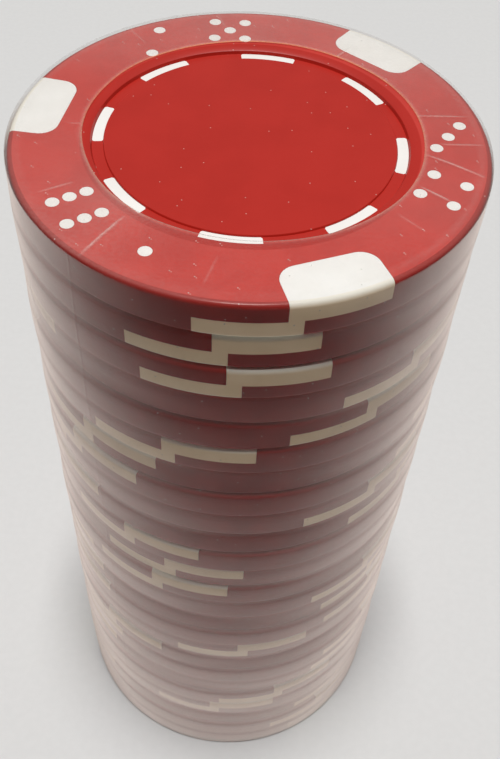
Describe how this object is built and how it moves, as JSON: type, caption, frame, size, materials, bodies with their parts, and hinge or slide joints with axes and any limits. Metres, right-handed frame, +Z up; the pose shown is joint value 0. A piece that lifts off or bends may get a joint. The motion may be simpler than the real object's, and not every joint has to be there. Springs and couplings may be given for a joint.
{
  "type": "poker chip ball marker roll",
  "caption": "Upright roll of round two-colour poker-chip ball markers with blank centres in a clear shrink film sleeve.",
  "frame": {"origin": "centre of the roll's bottom end, on the surface it stands on", "axes": "+Z up along the roll's axis; -Y towards the front view, where the film's crease is front left"},
  "size_m": [0.0396, 0.0396, 0.0835],
  "materials": {
    "clear_film": "clear heat-shrunk film, glossy, lightly wrinkled",
    "red_plastic": "moulded, fine matt rim and glossy centre",
    "white_plastic": "moulded, satin",
    "slug_steel": "plain blanked steel disc"
  },
  "bodies": {
    "sleeve": {"shrink_sleeve": "clear_film"},
    "chip_01": {"chip_01_body": "red_plastic", "chip_01_insert": "white_plastic"},
    "chip_02": {"chip_02_body": "red_plastic", "chip_02_insert": "white_plastic"},
    "chip_03": {"chip_03_body": "red_plastic", "chip_03_insert": "white_plastic"},
    "chip_04": {"chip_04_body": "red_plastic", "chip_04_insert": "white_plastic"},
    "chip_05": {"chip_05_body": "red_plastic", "chip_05_insert": "white_plastic"},
    "chip_06": {"chip_06_body": "red_plastic", "chip_06_insert": "white_plastic"},
    "chip_07": {"chip_07_body": "red_plastic", "chip_07_insert": "white_plastic"},
    "chip_08": {"chip_08_body": "red_plastic", "chip_08_insert": "white_plastic"},
    "chip_09": {"chip_09_body": "red_plastic", "chip_09_insert": "white_plastic"},
    "chip_10": {"chip_10_body": "red_plastic", "chip_10_insert": "white_plastic"},
    "chip_11": {"chip_11_body": "red_plastic", "chip_11_insert": "white_plastic"},
    "chip_12": {"chip_12_body": "red_plastic", "chip_12_insert": "white_plastic"},
    "chip_13": {"chip_13_body": "red_plastic", "chip_13_insert": "white_plastic"},
    "chip_14": {"chip_14_body": "red_plastic", "chip_14_insert": "white_plastic"},
    "chip_15": {"chip_15_body": "red_plastic", "chip_15_insert": "white_plastic"},
    "chip_16": {"chip_16_body": "red_plastic", "chip_16_insert": "white_plastic"},
    "chip_17": {"chip_17_body": "red_plastic", "chip_17_insert": "white_plastic"},
    "chip_18": {"chip_18_body": "red_plastic", "chip_18_insert": "white_plastic"},
    "chip_19": {"chip_19_body": "red_plastic", "chip_19_insert": "white_plastic"},
    "chip_20": {"chip_20_body": "red_plastic", "chip_20_insert": "white_plastic"},
    "chip_21": {"chip_21_body": "red_plastic", "chip_21_insert": "white_plastic"},
    "chip_22": {"chip_22_body": "red_plastic", "chip_22_insert": "white_plastic"},
    "chip_23": {"chip_23_body": "red_plastic", "chip_23_insert": "white_plastic"},
    "chip_24": {"chip_24_body": "red_plastic", "chip_24_insert": "white_plastic"},
    "chip_25": {"chip_25_body": "red_plastic", "chip_25_insert": "white_plastic"}
  },
  "joints": [
    {"name": "chip_01_turn", "type": "hinge", "parent": "sleeve", "child": "chip_01", "pos_m": [0.00012, 0, 0.0817], "axis": [0, 0, 1], "continuous": true},
    {"name": "chip_02_turn", "type": "hinge", "parent": "sleeve", "child": "chip_02", "pos_m": [-0.00009, 0.00008, 0.07837], "axis": [0, 0, 1], "continuous": true},
    {"name": "chip_03_turn", "type": "hinge", "parent": "sleeve", "child": "chip_03", "pos_m": [0.00001, -0.00012, 0.07504], "axis": [0, 0, 1], "continuous": true},
    {"name": "chip_04_turn", "type": "hinge", "parent": "sleeve", "child": "chip_04", "pos_m": [0.00007, 0.0001, 0.07171], "axis": [0, 0, 1], "continuous": true},
    {"name": "chip_05_turn", "type": "hinge", "parent": "sleeve", "child": "chip_05", "pos_m": [-0.00012, -0.00002, 0.06838], "axis": [0, 0, 1], "continuous": true},
    {"name": "chip_06_turn", "type": "hinge", "parent": "sleeve", "child": "chip_06", "pos_m": [0.0001, -0.00006, 0.06505], "axis": [0, 0, 1], "continuous": true},
    {"name": "chip_07_turn", "type": "hinge", "parent": "sleeve", "child": "chip_07", "pos_m": [-0.00003, 0.00012, 0.06172], "axis": [0, 0, 1], "continuous": true},
    {"name": "chip_08_turn", "type": "hinge", "parent": "sleeve", "child": "chip_08", "pos_m": [-0.00006, -0.00011, 0.05839], "axis": [0, 0, 1], "continuous": true},
    {"name": "chip_09_turn", "type": "hinge", "parent": "sleeve", "child": "chip_09", "pos_m": [0.00011, 0.00004, 0.05506], "axis": [0, 0, 1], "continuous": true},
    {"name": "chip_10_turn", "type": "hinge", "parent": "sleeve", "child": "chip_10", "pos_m": [-0.00011, 0.00005, 0.05173], "axis": [0, 0, 1], "continuous": true},
    {"name": "chip_11_turn", "type": "hinge", "parent": "sleeve", "child": "chip_11", "pos_m": [0.00005, -0.00011, 0.0484], "axis": [0, 0, 1], "continuous": true},
    {"name": "chip_12_turn", "type": "hinge", "parent": "sleeve", "child": "chip_12", "pos_m": [0.00004, 0.00011, 0.04507], "axis": [0, 0, 1], "continuous": true},
    {"name": "chip_13_turn", "type": "hinge", "parent": "sleeve", "child": "chip_13", "pos_m": [-0.0001, -0.00006, 0.04174], "axis": [0, 0, 1], "continuous": true},
    {"name": "chip_14_turn", "type": "hinge", "parent": "sleeve", "child": "chip_14", "pos_m": [0.00012, -0.00003, 0.03841], "axis": [0, 0, 1], "continuous": true},
    {"name": "chip_15_turn", "type": "hinge", "parent": "sleeve", "child": "chip_15", "pos_m": [-0.00007, 0.0001, 0.03508], "axis": [0, 0, 1], "continuous": true},
    {"name": "chip_16_turn", "type": "hinge", "parent": "sleeve", "child": "chip_16", "pos_m": [-0.00002, -0.00012, 0.03175], "axis": [0, 0, 1], "continuous": true},
    {"name": "chip_17_turn", "type": "hinge", "parent": "sleeve", "child": "chip_17", "pos_m": [0.00009, 0.00008, 0.02842], "axis": [0, 0, 1], "continuous": true},
    {"name": "chip_18_turn", "type": "hinge", "parent": "sleeve", "child": "chip_18", "pos_m": [-0.00012, 0.00001, 0.02509], "axis": [0, 0, 1], "continuous": true},
    {"name": "chip_19_turn", "type": "hinge", "parent": "sleeve", "child": "chip_19", "pos_m": [0.00008, -0.00008, 0.02176], "axis": [0, 0, 1], "continuous": true},
    {"name": "chip_20_turn", "type": "hinge", "parent": "sleeve", "child": "chip_20", "pos_m": [-0.00001, 0.00012, 0.01843], "axis": [0, 0, 1], "continuous": true},
    {"name": "chip_21_turn", "type": "hinge", "parent": "sleeve", "child": "chip_21", "pos_m": [-0.00008, -0.00009, 0.0151], "axis": [0, 0, 1], "continuous": true},
    {"name": "chip_22_turn", "type": "hinge", "parent": "sleeve", "child": "chip_22", "pos_m": [0.00012, 0.00002, 0.01177], "axis": [0, 0, 1], "continuous": true},
    {"name": "chip_23_turn", "type": "hinge", "parent": "sleeve", "child": "chip_23", "pos_m": [-0.0001, 0.00007, 0.00844], "axis": [0, 0, 1], "continuous": true},
    {"name": "chip_24_turn", "type": "hinge", "parent": "sleeve", "child": "chip_24", "pos_m": [0.00003, -0.00012, 0.00511], "axis": [0, 0, 1], "continuous": true},
    {"name": "chip_25_turn", "type": "hinge", "parent": "sleeve", "child": "chip_25", "pos_m": [0.00006, 0.0001, 0.00178], "axis": [0, 0, 1], "continuous": true}
  ]
}
